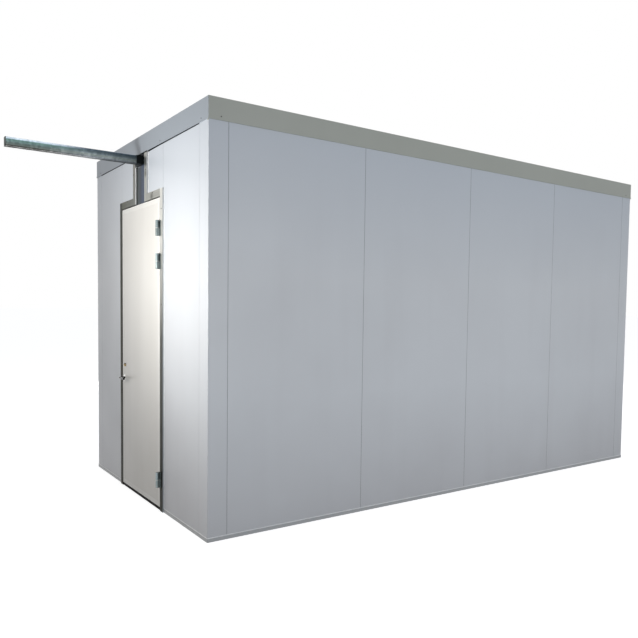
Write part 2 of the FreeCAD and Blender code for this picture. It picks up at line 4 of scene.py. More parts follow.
import bmesh
import bpy
from mathutils import Matrix, Vector


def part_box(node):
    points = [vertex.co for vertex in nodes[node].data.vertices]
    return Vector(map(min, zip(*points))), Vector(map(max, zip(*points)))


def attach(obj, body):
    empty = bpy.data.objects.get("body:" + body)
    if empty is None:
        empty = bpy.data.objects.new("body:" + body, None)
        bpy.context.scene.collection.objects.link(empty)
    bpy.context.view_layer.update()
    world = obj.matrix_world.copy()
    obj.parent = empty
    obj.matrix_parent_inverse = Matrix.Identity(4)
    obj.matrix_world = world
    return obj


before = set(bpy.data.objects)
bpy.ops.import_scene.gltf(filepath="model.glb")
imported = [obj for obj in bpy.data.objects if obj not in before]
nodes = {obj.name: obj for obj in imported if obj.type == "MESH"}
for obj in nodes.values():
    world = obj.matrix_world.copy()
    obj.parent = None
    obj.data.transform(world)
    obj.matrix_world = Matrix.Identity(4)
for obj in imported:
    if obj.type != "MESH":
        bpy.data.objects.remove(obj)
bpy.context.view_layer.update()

MM = 0.001


# Camera of the photo: a standing eye, 4.3 m to the right of the front corner and 1.9 m before it.
# The picture was cut off-centre from a wider one, which is what the small shift is for.
camera_data = bpy.data.cameras.new("camera")
camera_data.sensor_width = 36
camera_data.lens = 37.61
camera_data.shift_x = -0.0411
camera_data.shift_y = 0.0397
camera = bpy.data.objects.new("camera", camera_data)
looking = Vector((-0.81091, 0.58273, -0.05345))
camera.matrix_world = (
    Matrix.Translation((5.6563, -3.9521, 1.6644))
    @ looking.to_track_quat("-Z", "Y").to_matrix().to_4x4()
    @ Matrix.Rotation(radians(0.823), 4, "Z")
)
bpy.context.scene.collection.objects.link(camera)
bpy.context.scene.camera = camera
bpy.context.scene.view_settings.view_transform = "Standard"


# Studio: a pale floor and a white surround. To the camera and in reflections both are white,
# while the light that they give the object is softer, and the floor keeps the object's shadow.
def linear(colour):
    """The linear colour of an sRGB hex value."""
    parts = [int(colour[i:i + 2], 16) / 255 for i in (1, 3, 5)]
    return [c / 12.92 if c < 0.04045 else ((c + 0.055) / 1.055) ** 2.4 for c in parts] + [1.0]


def add(tree, kind, settings=None, links=None):
    """A node of that kind. Settings are its properties and sockets, links the outputs that feed it."""
    node = tree.nodes.new(kind)
    for key, value in (settings or {}).items():
        if isinstance(key, int) or key in node.inputs:
            node.inputs[key].default_value = value
        else:
            setattr(node, key, value)
    for key, source in (links or {}).items():
        tree.links.new(source, node.inputs[key])
    return node


def seen_directly(tree):
    """1 for rays from the camera and for reflected and refracted ones, else 0."""
    path = add(tree, "ShaderNodeLightPath")
    mirrored = add(tree, "ShaderNodeMath", {"operation": "MAXIMUM"},
                   {0: path.outputs["Is Glossy Ray"], 1: path.outputs["Is Transmission Ray"]})
    return add(tree, "ShaderNodeMath", {"operation": "MAXIMUM"},
               {0: path.outputs["Is Camera Ray"], 1: mirrored.outputs[0]}).outputs[0]


AMBIENT = 0.32
world = bpy.data.worlds.new("studio")
world.use_nodes = True
world.cycles.sampling_method = "NONE"
tree = world.node_tree
tree.nodes.clear()
surround = add(tree, "ShaderNodeBackground", {"Color": linear("#ffffff"), "Strength": 1.0})
soft_light = add(tree, "ShaderNodeBackground", {"Color": linear("#e9f0fa"), "Strength": AMBIENT})
shown = add(tree, "ShaderNodeMixShader", {},
            {0: seen_directly(tree), 1: soft_light.outputs[0], 2: surround.outputs[0]})
add(tree, "ShaderNodeOutputWorld", {}, {"Surface": shown.outputs[0]})
bpy.context.scene.world = world

floor_mesh = bmesh.new()
bmesh.ops.create_grid(floor_mesh, x_segments=1, y_segments=1, size=300)
floor_data = bpy.data.meshes.new("studio_floor")
floor_mesh.to_mesh(floor_data)
floor_mesh.free()
floor = bpy.data.objects.new("studio_floor", floor_data)
bpy.context.scene.collection.objects.link(floor)
floor_paint = bpy.data.materials.new("pale_studio_floor")
floor_paint.use_nodes = True
tree = floor_paint.node_tree
tree.nodes.clear()
glow = add(tree, "ShaderNodeEmission", {"Color": linear("#ffffff"), "Strength": 0.87})
matt_white = add(tree, "ShaderNodeBsdfDiffuse", {"Color": linear("#b4b4b4")})
matt_grey = add(tree, "ShaderNodeBsdfDiffuse", {"Color": linear("#a8a8a6")})
with_shadow = add(tree, "ShaderNodeAddShader", {}, {0: glow.outputs[0], 1: matt_white.outputs[0]})
floor_shown = add(tree, "ShaderNodeMixShader", {},
                  {0: seen_directly(tree), 1: matt_grey.outputs[0], 2: with_shadow.outputs[0]})
add(tree, "ShaderNodeOutputMaterial", {}, {"Surface": floor_shown.outputs[0]})
floor_data.materials.append(floor_paint)


def softbox(name, place, aim, size, power, colour="#ffffff"):
    """A square soft lamp at place that shines towards aim."""
    data = bpy.data.lights.new(name, "AREA")
    data.shape = "SQUARE"
    data.size = size
    data.energy = power
    data.color = linear(colour)[:3]
    lamp = bpy.data.objects.new(name, data)
    facing = (Vector(aim) - Vector(place)).to_track_quat("-Z", "Y")
    lamp.matrix_world = Matrix.Translation(place) @ facing.to_matrix().to_4x4()
    lamp.visible_camera = False
    bpy.context.scene.collection.objects.link(lamp)


softbox("lamp_door_corner", (0.66, -3.63, 1.82), (1.5, -2.03, 2.9), 0.8, 40, "#fffdf9")
softbox("lamp_front", (-1.0, -9.5, 2.8), (0.0, -2.0, 1.8), 5.0, 90, "#fff0de")
softbox("lamp_right", (9.0, 0.5, 2.4), (1.3, 0.5, 1.6), 5.0, 210)
softbox("lamp_left", (-9.0, 0.5, 2.4), (-1.3, 0.5, 1.6), 5.0, 210)
softbox("lamp_back", (0.0, 10.5, 2.4), (0.0, 3.1, 1.6), 5.0, 210)
softbox("lamp_overhead", (0.0, 0.5, 8.5), (0.0, 0.5, 3.0), 2.6, 260, "#eaf1ff")


# Insulated wall and ceiling panels: foam between two sheets of galvanised steel, coil-coated in a
# cool white polyester. The sheets are rolled flat, so they wave a little, and the coat has a fine
# grain. They stand edge to edge, which leaves the thin dark joint lines.
def coated_steel(name, colour, dulled, roughness=0.4, shaded_top_colour=None):
    """Coil-coated sheet: half-matt paint, cloudy by a shade, wiped in upright streaks and darker
    towards its foot. The dulled colour is the one that clouds, streaks and foot fade to. The
    upper colour is painted shade: a cooler, darker tone towards the top of the walls."""
    material = bpy.data.materials.new(name)
    material.use_nodes = True
    tree = material.node_tree
    tree.nodes.clear()
    place = add(tree, "ShaderNodeTexCoord").outputs["Object"]
    clouds = add(tree, "ShaderNodeTexNoise", {"Scale": 1 / 0.8, "Detail": 3.0}, {"Vector": place})
    upright = add(tree, "ShaderNodeMapping", {"Scale": (1 / 0.3, 1 / 0.3, 1 / 3.0)}, {"Vector": place})
    streaks = add(tree, "ShaderNodeTexNoise", {"Scale": 1.0, "Detail": 2.0}, {"Vector": upright.outputs[0]})
    height = add(tree, "ShaderNodeSeparateXYZ", {}, {0: place}).outputs["Z"]
    foot = add(tree, "ShaderNodeMapRange",
               {"From Min": 1.0, "From Max": 0.0, "To Min": 0.0, "To Max": 0.4}, {"Value": height})
    cloud_share = add(tree, "ShaderNodeMapRange",
                      {"From Min": 0.35, "From Max": 0.75, "To Min": 0.0, "To Max": 0.1},
                      {"Value": clouds.outputs[0]})
    streak_share = add(tree, "ShaderNodeMapRange",
                       {"From Min": 0.45, "From Max": 0.8, "To Min": 0.0, "To Max": 0.08},
                       {"Value": streaks.outputs[0]})
    share = add(tree, "ShaderNodeMath", {"operation": "ADD"},
                {0: cloud_share.outputs[0], 1: streak_share.outputs[0]})
    share = add(tree, "ShaderNodeMath", {"operation": "ADD"}, {0: share.outputs[0], 1: foot.outputs[0]})
    paint = add(tree, "ShaderNodeMix", {"data_type": "RGBA", 6: linear(colour), 7: linear(dulled)},
                {0: share.outputs[0]})
    if shaded_top_colour:
        # Painted shade: from 1.9 m up, the coat turns to the cooler, darker upper colour.
        reach = add(tree, "ShaderNodeMapRange", {"From Min": 1.9, "From Max": 2.9}, {"Value": height})
        paint = add(tree, "ShaderNodeMix", {"data_type": "RGBA", 7: linear(shaded_top_colour)},
                    {0: reach.outputs[0], 6: paint.outputs[2]})
    # The coat's grain is about 2 mm across. It is drawn at 9 mm, or it wouldn't show.
    grain = add(tree, "ShaderNodeTexNoise", {"Scale": 1 / 0.009, "Detail": 1.0}, {"Vector": place})
    waves = add(tree, "ShaderNodeTexNoise", {"Scale": 1 / 0.65, "Detail": 0.0}, {"Vector": place})
    rolled = add(tree, "ShaderNodeBump", {"Strength": 0.2, "Distance": 0.004}, {"Height": waves.outputs[0]})
    surface = add(tree, "ShaderNodeBump", {"Strength": 0.12, "Distance": 0.0006},
                  {"Height": grain.outputs[0], "Normal": rolled.outputs[0]})
    shine = add(tree, "ShaderNodeMapRange",
                {"From Min": 0.3, "From Max": 0.7, "To Min": roughness - 0.04, "To Max": roughness + 0.05},
                {"Value": clouds.outputs[0]})
    shader = add(tree, "ShaderNodeBsdfPrincipled", {"IOR": 1.5},
                 {"Base Color": paint.outputs[2], "Roughness": shine.outputs[0],
                  "Normal": surface.outputs[0]})
    add(tree, "ShaderNodeOutputMaterial", {}, {"Surface": shader.outputs[0]})
    return material


def finish(material, *starts):
    """Gives the material to every CAD node whose name begins with one of the words."""
    for name, node in nodes.items():
        if name.startswith(starts):
            for place in node.material_slots:
                place.material = material


# The panels' upper colour is painted shade towards the cornice.
panel_sheet = coated_steel("coil_coated_panel_sheet", "#d7dbe0", "#a6a4a7", shaded_top_colour="#c6cdd6")
finish(panel_sheet, "corner_", "right_wall", "left_wall", "back_wall", "front_wall", "door_head_panel",
       "ceiling_panel")


# Joint seals: a thin grey bead of sealing compound between the folded edges of neighbouring panels,
# pressed in as the panels are locked together, so that it lies a little below the faces.
seal_compound = bpy.data.materials.new("grey_joint_compound")
seal_compound.use_nodes = True
tree = seal_compound.node_tree
tree.nodes.clear()
place = add(tree, "ShaderNodeTexCoord").outputs["Object"]
lumps = add(tree, "ShaderNodeTexNoise", {"Scale": 1 / 0.02, "Detail": 3.0}, {"Vector": place})
compound = add(tree, "ShaderNodeMix", {"data_type": "RGBA", 6: linear("#62666b"), 7: linear("#3f4247")},
               {0: lumps.outputs[0]})
rough_skin = add(tree, "ShaderNodeBump", {"Strength": 0.3, "Distance": 0.0004}, {"Height": lumps.outputs[0]})
shader = add(tree, "ShaderNodeBsdfPrincipled", {"Roughness": 0.7},
             {"Base Color": compound.outputs[2], "Normal": rough_skin.outputs[0]})
add(tree, "ShaderNodeOutputMaterial", {}, {"Surface": shader.outputs[0]})


def new_piece(name, mesh, material, body):
    """Makes the finished mesh an object of that name, which rides on the body."""
    bmesh.ops.recalc_face_normals(mesh, faces=mesh.faces)
    data = bpy.data.meshes.new(name)
    mesh.to_mesh(data)
    mesh.free()
    data.materials.append(material)
    piece = bpy.data.objects.new(name, data)
    bpy.context.scene.collection.objects.link(piece)
    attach(piece, body)


def lay_bead(mesh, start, end, radius, hand, step=0.09):
    """A round bead from start to end, whose thickness wanders with the hand that lays it."""
    start, end = Vector(start), Vector(end)
    run = end - start
    count = max(2, round(run.length / step))
    across = run.to_track_quat("Z", "Y").to_matrix().to_4x4()
    ring = bmesh.ops.create_circle(mesh, segments=8, radius=radius,
                                   matrix=Matrix.Translation(start) @ across)["verts"]
    edges = list({edge for vert in ring for edge in vert.link_edges})
    open_edges = list(edges)
    for step_count in range(count):
        grown = bmesh.ops.extrude_edge_only(mesh, edges=edges)["geom"]
        ring = {vert for vert in grown if isinstance(vert, bmesh.types.BMVert)}
        edges = [edge for edge in grown if isinstance(edge, bmesh.types.BMEdge) and set(edge.verts) <= ring]
        centre = start + run * (step_count + 1) / count
        bmesh.ops.translate(mesh, vec=run / count, verts=list(ring))
        mean = (next(iter(ring)).co - centre).length
        size = radius * hand.uniform(0.86, 1.1) / mean
        bmesh.ops.scale(mesh, vec=(size, size, size), verts=list(ring), space=Matrix.Translation(-centre))
    bmesh.ops.holes_fill(mesh, edges=open_edges + edges)


hand = random.Random(7)
half_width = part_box("corner_front_right")[1].x
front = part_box("corner_front_right")[0].y
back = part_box("corner_back_right")[1].y
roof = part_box("ceiling_panel_1")[1].z
channel_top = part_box("base_channel_right")[1].z
cornice_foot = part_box("cornice_front")[0].z
frame_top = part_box("door_frame_head")[1].z
JOINT_SEAL = 1.05 * MM
SEAL_DEPTH = 1.3 * MM
SEAL_STEP = 0.5
joint_seals = bmesh.new()
side_joints = sorted({round(corner.y, 4) for number in (1, 2, 3, 4)
                      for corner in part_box(f"right_wall_panel_{number}")})
for side in (-1, 1):
    x = side * (half_width - SEAL_DEPTH)
    for y in side_joints:
        lay_bead(joint_seals, (x, y, channel_top), (x, y, cornice_foot), JOINT_SEAL, hand, SEAL_STEP)
for x in (-1.2, 0.0, 1.2):
    y = back - SEAL_DEPTH
    lay_bead(joint_seals, (x, y, channel_top), (x, y, cornice_foot), JOINT_SEAL, hand, SEAL_STEP)
for x, low in ((-1.2, channel_top), (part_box("front_wall_left")[1].x, frame_top),
               (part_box("front_wall_right")[0].x, frame_top)):
    y = front + SEAL_DEPTH
    lay_bead(joint_seals, (x, y, low), (x, y, cornice_foot), JOINT_SEAL, hand, SEAL_STEP)
for number in (1, 2, 3):
    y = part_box(f"ceiling_panel_{number}")[1].y
    z = roof - SEAL_DEPTH
    lay_bead(joint_seals, (-half_width + 0.06, y, z), (half_width - 0.06, y, z), JOINT_SEAL, hand, SEAL_STEP)
new_piece("panel_joint_seals", joint_seals, seal_compound, "room")


# Base channels: folded coated steel, fixed to the ground, that the wall panels stand in. A bead of
# white sanitary silicone closes the channel's top edge all round. A gunned bead is a little uneven.
channel_sheet = coated_steel("coated_channel_sheet", "#c3c6c8", "#96979a")
finish(channel_sheet, "base_channel")

silicone = bpy.data.materials.new("white_sanitary_silicone")
silicone.use_nodes = True
tree = silicone.node_tree
tree.nodes.clear()
place = add(tree, "ShaderNodeTexCoord").outputs["Object"]
dust = add(tree, "ShaderNodeTexNoise", {"Scale": 1 / 0.05, "Detail": 3.0}, {"Vector": place})
skin = add(tree, "ShaderNodeMix", {"data_type": "RGBA", 6: linear("#f8fafb"), 7: linear("#d9dbdc")},
           {0: dust.outputs[0]})
ripple = add(tree, "ShaderNodeBump", {"Strength": 0.4, "Distance": 0.0006}, {"Height": dust.outputs[0]})
shader = add(tree, "ShaderNodeBsdfPrincipled", {"Roughness": 0.42, "IOR": 1.41},
             {"Base Color": skin.outputs[2], "Normal": ripple.outputs[0]})
add(tree, "ShaderNodeOutputMaterial", {}, {"Surface": shader.outputs[0]})


BEAD = 3.6 * MM
frame_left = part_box("door_frame_left")[0].x
frame_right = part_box("door_frame_right")[1].x
base_seal = bmesh.new()
for start, end in (
    ((half_width, front, channel_top), (half_width, back, channel_top)),
    ((-half_width, front, channel_top), (-half_width, back, channel_top)),
    ((-half_width, back, channel_top), (half_width, back, channel_top)),
    ((-half_width, front, channel_top), (frame_left, front, channel_top)),
    ((frame_right, front, channel_top), (half_width, front, channel_top)),
):
    lay_bead(base_seal, start, end, BEAD, hand)
new_piece("base_sealant", base_seal, silicone, "room")


# Cornice: a folded angle of coated sheet over the top edge of the walls, a shade greyer than the
# panels. Four self-tapping screws hold it on the front and on the back, one near each end of the
# long sides, and a small tab closes each lower corner.
cornice_sheet = coated_steel("coated_cornice_sheet", "#aaaea7", "#8c8e88")
finish(cornice_sheet, "cornice_left", "cornice_right", "cornice_back")
# The front length is painted darker and bluer than the side ones: painted shade, for the weaker light on the
# front.
shaded_front_cornice_sheet = coated_steel("bluish_cornice_sheet_painted_shade", "#939ca6", "#7f868e")
finish(shaded_front_cornice_sheet, "cornice_front")

screw_zinc = bpy.data.materials.new("bright_zinc_screw_painted_shade")
screw_zinc.use_nodes = True
tree = screw_zinc.node_tree
tree.nodes.clear()
place = add(tree, "ShaderNodeTexCoord").outputs["Object"]
tarnish = add(tree, "ShaderNodeTexNoise", {"Scale": 1 / 0.003, "Detail": 2.0}, {"Vector": place})
# The heads are painted darker than bright zinc: painted shade of their sockets, so that each reads as a dark
# dot. The noise is tarnish.
plating_and_socket_shade = add(tree, "ShaderNodeMix", {"data_type": "RGBA", 6: linear("#6a6c6b"), 7: linear("#3f403e")},
             {0: tarnish.outputs[0]})
shader = add(tree, "ShaderNodeBsdfPrincipled", {"Metallic": 1.0, "Roughness": 0.36},
             {"Base Color": plating_and_socket_shade.outputs[2]})
add(tree, "ShaderNodeOutputMaterial", {}, {"Surface": shader.outputs[0]})


def drive_screws(mesh, spots, outward, radius=5.2 * MM, rise=2.6 * MM):
    """Pan heads with a round socket, one at each spot, that stand out along outward."""
    outward = Vector(outward)
    turned = outward.to_track_quat("Z", "Y").to_matrix().to_4x4()
    for spot in spots:
        middle = Vector(spot) + outward * rise * 0.28
        made = bmesh.ops.create_cone(mesh, cap_ends=True, segments=16, radius1=radius, radius2=radius * 0.8,
                                     depth=rise * 0.6, matrix=Matrix.Translation(middle) @ turned)
        caps = {face for vert in made["verts"] for face in vert.link_faces if len(face.verts) == 16}
        top = max(caps, key=lambda face: face.calc_center_median().dot(outward))
        top.normal_update()
        bmesh.ops.inset_individual(mesh, faces=[top], thickness=radius * 0.35, depth=rise * 0.4)
        bmesh.ops.inset_individual(mesh, faces=[top], thickness=radius * 0.06, depth=-rise * 0.7)


HEM_RISE = 3 * MM
SCREW_PLACES = (-1.23, -0.43, 0.43, 1.23)
SIDE_SCREW_INSET = 95 * MM
cornice_low, cornice_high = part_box("cornice_front")
side_face = cornice_high.x - HEM_RISE
front_face = cornice_low.y + HEM_RISE
back_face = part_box("cornice_back")[1].y - HEM_RISE
screw_line = cornice_low.z + 26 * MM
cornice_screws = bmesh.new()
drive_screws(cornice_screws, [(x, front_face, screw_line) for x in SCREW_PLACES], (0, -1, 0))
drive_screws(cornice_screws, [(x, back_face, screw_line) for x in SCREW_PLACES], (0, 1, 0))
for side in (-1, 1):
    spots = [(side * side_face, y, screw_line)
             for y in (front_face + SIDE_SCREW_INSET, back_face - SIDE_SCREW_INSET)]
    drive_screws(cornice_screws, spots, (side, 0, 0))
new_piece("cornice_screws", cornice_screws, screw_zinc, "room")

TAB_WIDTH = 22 * MM
TAB_DROP = 8 * MM
TAB_THICKNESS = 2.4 * MM
TAB_HEIGHT = TAB_DROP + 12 * MM
tabs = bmesh.new()
for side in (-1, 1):
    for face, outward in ((front, -1), (back, 1)):
        corner = bmesh.ops.create_cube(tabs, size=1)["verts"]
        bmesh.ops.scale(tabs, vec=(TAB_WIDTH, TAB_THICKNESS, TAB_HEIGHT), verts=corner)
        middle = (side * (side_face - TAB_WIDTH / 2), face + outward * TAB_THICKNESS / 2,
                  cornice_foot - TAB_DROP + TAB_HEIGHT / 2)
        bmesh.ops.translate(tabs, vec=middle, verts=corner)
lower_edges = [edge for edge in tabs.edges if abs(edge.verts[0].co.x - edge.verts[1].co.x) < 1e-6
               and abs(edge.verts[0].co.z - edge.verts[1].co.z) < 1e-6]
bmesh.ops.bevel(tabs, geom=lower_edges, offset=2 * MM, segments=2, affect="EDGES", profile=0.5,
                material=-1)
new_piece("cornice_corner_tabs", tabs, cornice_sheet, "room")


# Black strip below the front cornice, with the pitted skin of foam tape: painted shadow of the gap
# under the cornice's foot, thickest where it bridges the slot and its trims.
painted_shadow_black = bpy.data.materials.new("painted_shadow_black_strip")
painted_shadow_black.use_nodes = True
tree = painted_shadow_black.node_tree
tree.nodes.clear()
place = add(tree, "ShaderNodeTexCoord").outputs["Object"]
cells = add(tree, "ShaderNodeTexNoise", {"Scale": 1 / 0.002, "Detail": 2.0}, {"Vector": place})
shadow_black_tone = add(tree, "ShaderNodeMix", {"data_type": "RGBA", 6: linear("#0a0d0e"), 7: linear("#151c1e")},
           {0: cells.outputs[0]})
pitted = add(tree, "ShaderNodeBump", {"Strength": 0.6, "Distance": 0.0005}, {"Height": cells.outputs[0]})
shader = add(tree, "ShaderNodeBsdfPrincipled", {"Roughness": 0.9, "Specular IOR Level": 0.15},
             {"Base Color": shadow_black_tone.outputs[2], "Normal": pitted.outputs[0]})
add(tree, "ShaderNodeOutputMaterial", {}, {"Surface": shader.outputs[0]})

trim_low, trim_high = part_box("slot_trims")
shadow_strip = bmesh.new()


def lay_shadow_strip(start, end, drops, face, depth):
    """A flat run of the black shadow strip below the cornice from x start to x end, whose drop changes along
    it.
    """
    made = bmesh.ops.create_cube(shadow_strip, size=1)["verts"]
    middle = Vector(((start + end) / 2, face + depth / 2, cornice_foot - 0.5))
    bmesh.ops.scale(shadow_strip, vec=(end - start, depth, 1), verts=made)
    bmesh.ops.translate(shadow_strip, vec=middle, verts=made)
    for vert in made:
        if vert.co.z < middle.z:
            vert.co.z = cornice_foot - drops[0 if vert.co.x < middle.x else 1]


SHADOW_END = 1.19
SHADOW_BEND = 0.34
SHADOW_DEPTH = 4 * MM
wall_shadow_face = front - 3.5 * MM
lay_shadow_strip(trim_low.x, trim_high.x, (11 * MM, 11 * MM), trim_low.y - 0.8 * MM, 6 * MM)
lay_shadow_strip(trim_high.x, SHADOW_BEND, (12 * MM, 8 * MM), wall_shadow_face, SHADOW_DEPTH)
lay_shadow_strip(SHADOW_BEND, SHADOW_END, (8 * MM, 5 * MM), wall_shadow_face, SHADOW_DEPTH)
lay_shadow_strip(-SHADOW_END, trim_low.x, (5 * MM, 6 * MM), wall_shadow_face, SHADOW_DEPTH)
bmesh.ops.bevel(shadow_strip, geom=shadow_strip.edges[:], offset=0.5 * MM, segments=2, affect="EDGES", profile=0.5,
                material=-1)
new_piece("cornice_shadow_strip", shadow_strip, painted_shadow_black, "room")


# Door frame and slot trims: sections of brushed stainless sheet screwed over the edges of the
# opening, proud of the wall. The brushing runs with each length. Their tones are painted reflection
# and shade: bright above and dark below on the hinge side, dark on the lock side, darker to the left
# on the head and trims. Grime gathers at screws.
def toned(tree, along, tones):
    """The colour that changes along a value, from pairs of value and sRGB colour."""
    colour = None
    for (low, low_colour), (high, high_colour) in zip(tones, tones[1:]):
        share = add(tree, "ShaderNodeMapRange", {"From Min": low, "From Max": high}, {"Value": along})
        mixed = add(tree, "ShaderNodeMix",
                    {"data_type": "RGBA", 6: linear(low_colour), 7: linear(high_colour)},
                    {0: share.outputs[0]})
        if colour:
            tree.links.new(colour, mixed.inputs[6])
        colour = mixed.outputs[2]
    return colour


def brushed_steel(name, tones, grain, axis="Z", lit_side_tone=None, stains=()):
    """Brushed sheet: fine lines along the grain, which stretch each highlight across them. The
    lines are 0.2 mm apart on the real sheet and are drawn 5 mm apart, or they wouldn't show.
    Tones are pairs of place along the axis and colour, painted reflection and shade along the
    length; stains pairs of middle and reach. The lit side tone is painted light on faces turned sideways."""
    material = bpy.data.materials.new(name)
    material.use_nodes = True
    tree = material.node_tree
    tree.nodes.clear()
    coordinates = add(tree, "ShaderNodeTexCoord")
    place = coordinates.outputs["Object"]
    stretched = add(tree, "ShaderNodeMapping", {"Scale": grain}, {"Vector": place})
    lines = add(tree, "ShaderNodeTexNoise", {"Scale": 1.0, "Detail": 2.0}, {"Vector": stretched.outputs[0]})
    smears = add(tree, "ShaderNodeTexNoise", {"Scale": 1 / 0.22, "Detail": 3.0}, {"Vector": place})
    along = add(tree, "ShaderNodeSeparateXYZ", {}, {0: place}).outputs[axis]
    steel = toned(tree, along, tones)
    for middle, reach in stains:
        away = add(tree, "ShaderNodeVectorMath", {"operation": "DISTANCE", 1: middle}, {0: place})
        share = add(tree, "ShaderNodeMapRange",
                    {"From Min": reach * 0.2, "From Max": reach, "To Min": 0.6, "To Max": 0.0},
                    {"Value": away.outputs["Value"]})
        steel = add(tree, "ShaderNodeMix", {"data_type": "RGBA", 7: linear("#4a4a45")},
                    {0: share.outputs[0], 6: steel}).outputs[2]
    # Painted light: faces turned sideways take the lit side tone.
    if lit_side_tone:
        across = add(tree, "ShaderNodeSeparateXYZ", {}, {0: coordinates.outputs["Normal"]}).outputs["X"]
        turned = add(tree, "ShaderNodeMath", {"operation": "ABSOLUTE"}, {0: across})
        steel = add(tree, "ShaderNodeMix", {"data_type": "RGBA", 7: linear(lit_side_tone)},
                    {0: turned.outputs[0], 6: steel}).outputs[2]
    line_share = add(tree, "ShaderNodeMapRange",
                     {"From Min": 0.3, "From Max": 0.7, "To Min": 0.0, "To Max": 0.35},
                     {"Value": lines.outputs[0]})
    lined = add(tree, "ShaderNodeMix",
                {"data_type": "RGBA", "blend_type": "MULTIPLY", 7: linear("#b3b2ae")},
                {0: line_share.outputs[0], 6: steel})
    shine = add(tree, "ShaderNodeMapRange",
                {"From Min": 0.3, "From Max": 0.7, "To Min": 0.34, "To Max": 0.5},
                {"Value": smears.outputs[0]})
    scored = add(tree, "ShaderNodeBump", {"Strength": 0.15, "Distance": 0.0004}, {"Height": lines.outputs[0]})
    shader = add(tree, "ShaderNodeBsdfPrincipled", {"Metallic": 1.0, "Specular Tint": linear("#cfcfcd")},
                 {"Base Color": lined.outputs[2], "Roughness": shine.outputs[0],
                  "Normal": scored.outputs[0]})
    add(tree, "ShaderNodeOutputMaterial", {}, {"Surface": shader.outputs[0]})
    return material


UPRIGHT_GRAIN = (1 / 0.005, 1 / 0.005, 1 / 0.5)
LEVEL_GRAIN = (1 / 0.5, 1 / 0.005, 1 / 0.005)
finish(brushed_steel("brushed_stainless_hinge_side_painted_reflection", ((0.5, "#30302d"), (1.4, "#696a66"), (2.3, "#f4f4ef")),
                     UPRIGHT_GRAIN, lit_side_tone="#a8aeb4"), "door_frame_right")
finish(brushed_steel("brushed_stainless_lock_side_painted_reflection", ((0.5, "#2c2a26"), (1.4, "#45433e"), (2.4, "#4c4d49")),
                     UPRIGHT_GRAIN), "door_frame_left")
HEAD_TONES = ((-0.5, "#76776f"), (-0.2, "#878986"), (0.14, "#b9bab5"), (0.4, "#c0c1bc"))
finish(brushed_steel("brushed_stainless_head_painted_reflection", HEAD_TONES, LEVEL_GRAIN, axis="X",
                     stains=(((0.262, -2.0425, 2.557), 0.045),)), "door_frame_head")
finish(brushed_steel("brushed_stainless_trim_painted_reflection", ((-0.16, "#949592"), (0.09, "#c2c3bf")),
                     UPRIGHT_GRAIN, axis="X", lit_side_tone="#d9dcdf",
                     stains=(((0.115, -2.0425, 2.765), 0.04),)), "slot_trims")

FRAME_BEAD = 7 * MM
FRAME_BEAD_SUNK = 3 * MM
bead_line = front + FRAME_BEAD_SUNK
bead_top = cornice_foot - 8 * MM
right_of_trim = trim_high.x + 9 * MM
frame_seal = bmesh.new()
for start, end in (
    ((frame_right, bead_line, channel_top), (frame_right, bead_line, frame_top)),
    ((frame_left, bead_line, channel_top), (frame_left, bead_line, frame_top)),
    ((frame_left, bead_line, frame_top), (trim_low.x, bead_line, frame_top)),
    ((trim_high.x, bead_line, frame_top), (frame_right, bead_line, frame_top)),
    ((trim_low.x, bead_line, frame_top), (trim_low.x, bead_line, bead_top)),
    ((right_of_trim, bead_line, frame_top), (right_of_trim, bead_line, bead_top)),
):
    lay_bead(frame_seal, start, end, FRAME_BEAD, hand)
lip_low, lip_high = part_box("slot_lips")
SLOT_BEAD = 5 * MM
slot_x = lip_low.x + 1 * MM
slot_y = lip_low.y - 8 * MM
lay_bead(frame_seal, (slot_x, slot_y, lip_low.z), (slot_x, slot_y, lip_high.z), SLOT_BEAD, hand)
new_piece("frame_sealant", frame_seal, silicone, "room")

# The joint between the right trim and the wall is filled with the grey compound instead.
TRIM_BEAD = 3.4 * MM
joint_x = trim_high.x + 1 * MM
joint_y = front - 1 * MM
trim_joint = bmesh.new()
lay_bead(trim_joint, (joint_x, joint_y, frame_top), (joint_x, joint_y, cornice_foot), TRIM_BEAD, hand)
new_piece("slot_trim_joint", trim_joint, seal_compound, "room")

frame_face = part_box("door_frame_head")[0].y
screw_steel = bpy.data.materials.new("stainless_screw_painted_shade")
screw_steel.use_nodes = True
tree = screw_steel.node_tree
tree.nodes.clear()
place = add(tree, "ShaderNodeTexCoord").outputs["Object"]
# The heads are painted darker than stainless: painted shade of their sockets, so that each reads as a dark
# dot, with grime on top.
grime_and_socket_shade = add(tree, "ShaderNodeTexNoise", {"Scale": 1 / 0.004, "Detail": 2.0}, {"Vector": place})
head_steel = add(tree, "ShaderNodeMix", {"data_type": "RGBA", 6: linear("#6d6e6a"), 7: linear("#383834")},
                 {0: grime_and_socket_shade.outputs[0]})
shader = add(tree, "ShaderNodeBsdfPrincipled", {"Metallic": 1.0, "Roughness": 0.3},
             {"Base Color": head_steel.outputs[2]})
add(tree, "ShaderNodeOutputMaterial", {}, {"Surface": shader.outputs[0]})

UPRIGHT_SCREWS = {"x": (0.482, -0.552), "z": (0.168, 0.908, 1.677, 2.434)}
HEAD_SCREWS = {"x": (0.284, -0.352), "z": (2.583,)}
TRIM_SCREWS = {"x": (0.117, -0.185), "z": (2.797,)}
frame_screws = bmesh.new()
spots = [(x, frame_face, z) for group in (UPRIGHT_SCREWS, HEAD_SCREWS, TRIM_SCREWS)
         for x in group["x"] for z in group["z"]]
drive_screws(frame_screws, spots, (0, -1, 0))
new_piece("frame_screws", frame_screws, screw_steel, "room")


